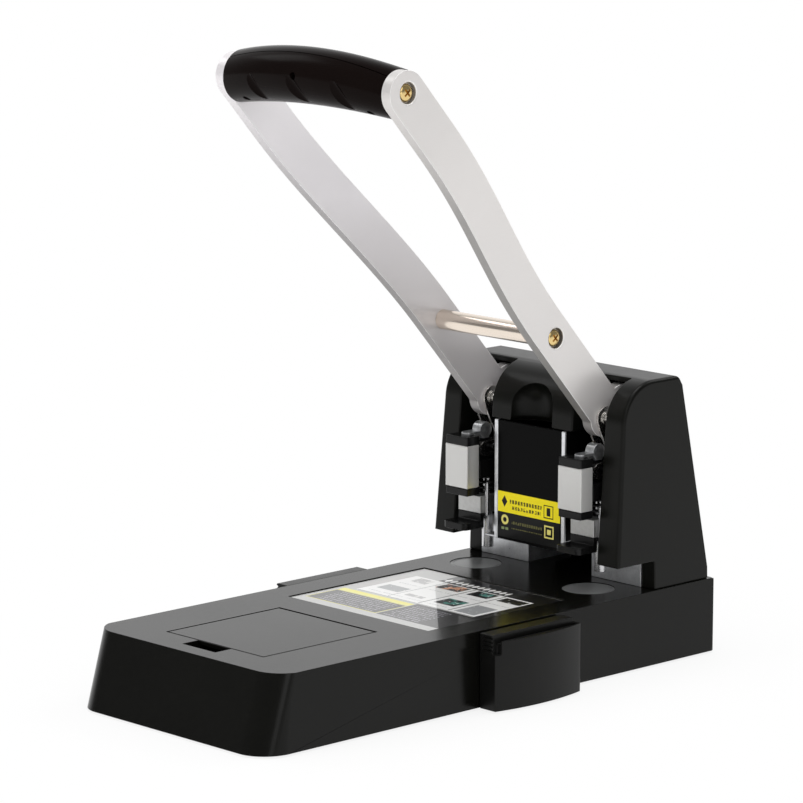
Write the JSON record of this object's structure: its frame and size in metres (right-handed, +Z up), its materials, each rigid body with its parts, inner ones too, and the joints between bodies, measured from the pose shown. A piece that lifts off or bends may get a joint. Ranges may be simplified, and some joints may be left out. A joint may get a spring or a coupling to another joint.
{
  "type": "heavy-duty two-hole paper punch",
  "caption": "Desk paper punch with a long flat base, a rear head and a tall lever of flat arms; links press hollow pins through guide blocks into turning discs.",
  "frame": {"origin": "centre of the bounding box seen from above, on the table under the rubber feet", "axes": "+X to the right seen from the front, +Y to the back where the head stands, +Z up"},
  "size_m": [0.1654, 0.308, 0.3163],
  "materials": {
    "base_black": "fine matt grain",
    "cover_black": "matt",
    "foot_rubber": "soft matt",
    "screw_steel": "zinc plated",
    "disc_grey": "dull grey",
    "label_paper": "printed film",
    "guide_black": "satin",
    "head_black": "satin",
    "panel_black": "smooth",
    "label_yellow": "printed film",
    "frame_zinc": "bright zinc",
    "block_grey": "as cast",
    "unit_black": "satin",
    "wire_steel": "bright wire",
    "spring_dark": "blackened",
    "sleeve_silver": "satin",
    "pad_zinc": "cast zinc",
    "pin_steel": "ground",
    "link_nickel": "nickel plated",
    "arm_aluminium": "satin anodised",
    "grip_black": "soft gloss",
    "rod_nickel": "nickel plated",
    "screw_brass": "bright",
    "collar_silver": "turned"
  },
  "bodies": {
    "base": {"base_housing": "base_black", "bottom_cover": "cover_black", "rubber_feet": "foot_rubber", "bottom_screws": "screw_steel", "label_sheet": "label_paper", "head_cover": "head_black", "cover_screws": "screw_steel", "centre_panel": "panel_black", "panel_label": "label_yellow", "frame_left": "frame_zinc", "frame_right": "frame_zinc", "frame_screws": "screw_steel", "guide_block_left": "block_grey", "guide_block_right": "block_grey", "stop_block_left": "unit_black", "stop_block_right": "unit_black", "guide_clip_left": "wire_steel", "guide_clip_right": "wire_steel", "pivot_shaft": "pin_steel", "shaft_clips": "screw_steel"},
    "lever": {"arm_left": "arm_aluminium", "arm_right": "arm_aluminium", "grip_upper": "grip_black", "grip_lower": "grip_black", "cross_rod": "rod_nickel", "lever_screws": "screw_brass", "pivot_collars": "collar_silver", "link_pins": "link_nickel", "link_rings": "link_nickel"},
    "link_left": {"link_left": "link_nickel"},
    "link_right": {"link_right": "link_nickel"},
    "punch_left": {"carriage_left": "unit_black", "sleeve_left": "sleeve_silver", "pressure_pad_left": "pad_zinc", "punch_pin_left": "pin_steel", "return_spring_left": "spring_dark", "cross_pin_left": "pin_steel"},
    "punch_right": {"carriage_right": "unit_black", "sleeve_right": "sleeve_silver", "pressure_pad_right": "pad_zinc", "punch_pin_right": "pin_steel", "return_spring_right": "spring_dark", "cross_pin_right": "pin_steel"},
    "hatch": {"hatch_lid": "base_black"},
    "guide_left": {"guide_end_left": "guide_black", "guide_bar_left": "guide_black"},
    "guide_right": {"guide_end_right": "guide_black", "guide_bar_right": "guide_black"},
    "cutting_disc_left": {"disc_left": "disc_grey"},
    "cutting_disc_right": {"disc_right": "disc_grey"}
  },
  "joints": [
    {"name": "lever_hinge", "type": "hinge", "parent": "base", "child": "lever", "pos_m": [0, 0.1103, 0.1272], "axis": [1, 0, 0], "range_deg": [-19, 36]},
    {"name": "link_left_hinge", "type": "hinge", "parent": "lever", "child": "link_left", "pos_m": [-0.04, 0.09672, 0.12463], "axis": [1, 0, 0], "range_deg": [-36.5, 19.5]},
    {"name": "link_right_hinge", "type": "hinge", "parent": "lever", "child": "link_right", "pos_m": [0.04, 0.09672, 0.12463], "axis": [1, 0, 0], "range_deg": [-36.5, 19.5]},
    {"name": "punch_left_slide", "type": "slide", "parent": "base", "child": "punch_left", "axis": [0, 0, -1], "range_m": [-0.00403, 0.00759], "stiffness_N_per_m": 1400, "springref_m": -0.0094, "deforming": ["return_spring_left"]},
    {"name": "punch_right_slide", "type": "slide", "parent": "base", "child": "punch_right", "axis": [0, 0, -1], "range_m": [-0.00403, 0.00759], "stiffness_N_per_m": 1400, "springref_m": -0.0094, "deforming": ["return_spring_right"]},
    {"name": "hatch_hinge", "type": "hinge", "parent": "base", "child": "hatch", "pos_m": [0, -0.053, 0.0367], "axis": [-1, 0, 0], "range_deg": [0, 100]},
    {"name": "guide_left_slide", "type": "slide", "parent": "base", "child": "guide_left", "axis": [-1, 0, 0], "range_m": [0, 0.045]},
    {"name": "guide_right_slide", "type": "slide", "parent": "base", "child": "guide_right", "axis": [1, 0, 0], "range_m": [0, 0.045]},
    {"name": "disc_left_turn", "type": "hinge", "parent": "base", "child": "cutting_disc_left", "pos_m": [-0.04, 0.0895, 0.0352], "axis": [0, 0, 1], "continuous": true},
    {"name": "disc_right_turn", "type": "hinge", "parent": "base", "child": "cutting_disc_right", "pos_m": [0.04, 0.0895, 0.0352], "axis": [0, 0, 1], "continuous": true}
  ],
  "couplings": [
    {"joint": "link_left_hinge", "follows": "lever_hinge", "ratio": -1},
    {"joint": "link_right_hinge", "follows": "lever_hinge", "ratio": -1},
    {"joint": "punch_left_slide", "follows": "lever_hinge", "m_per_rad": 0.012},
    {"joint": "punch_right_slide", "follows": "lever_hinge", "m_per_rad": 0.012}
  ]
}
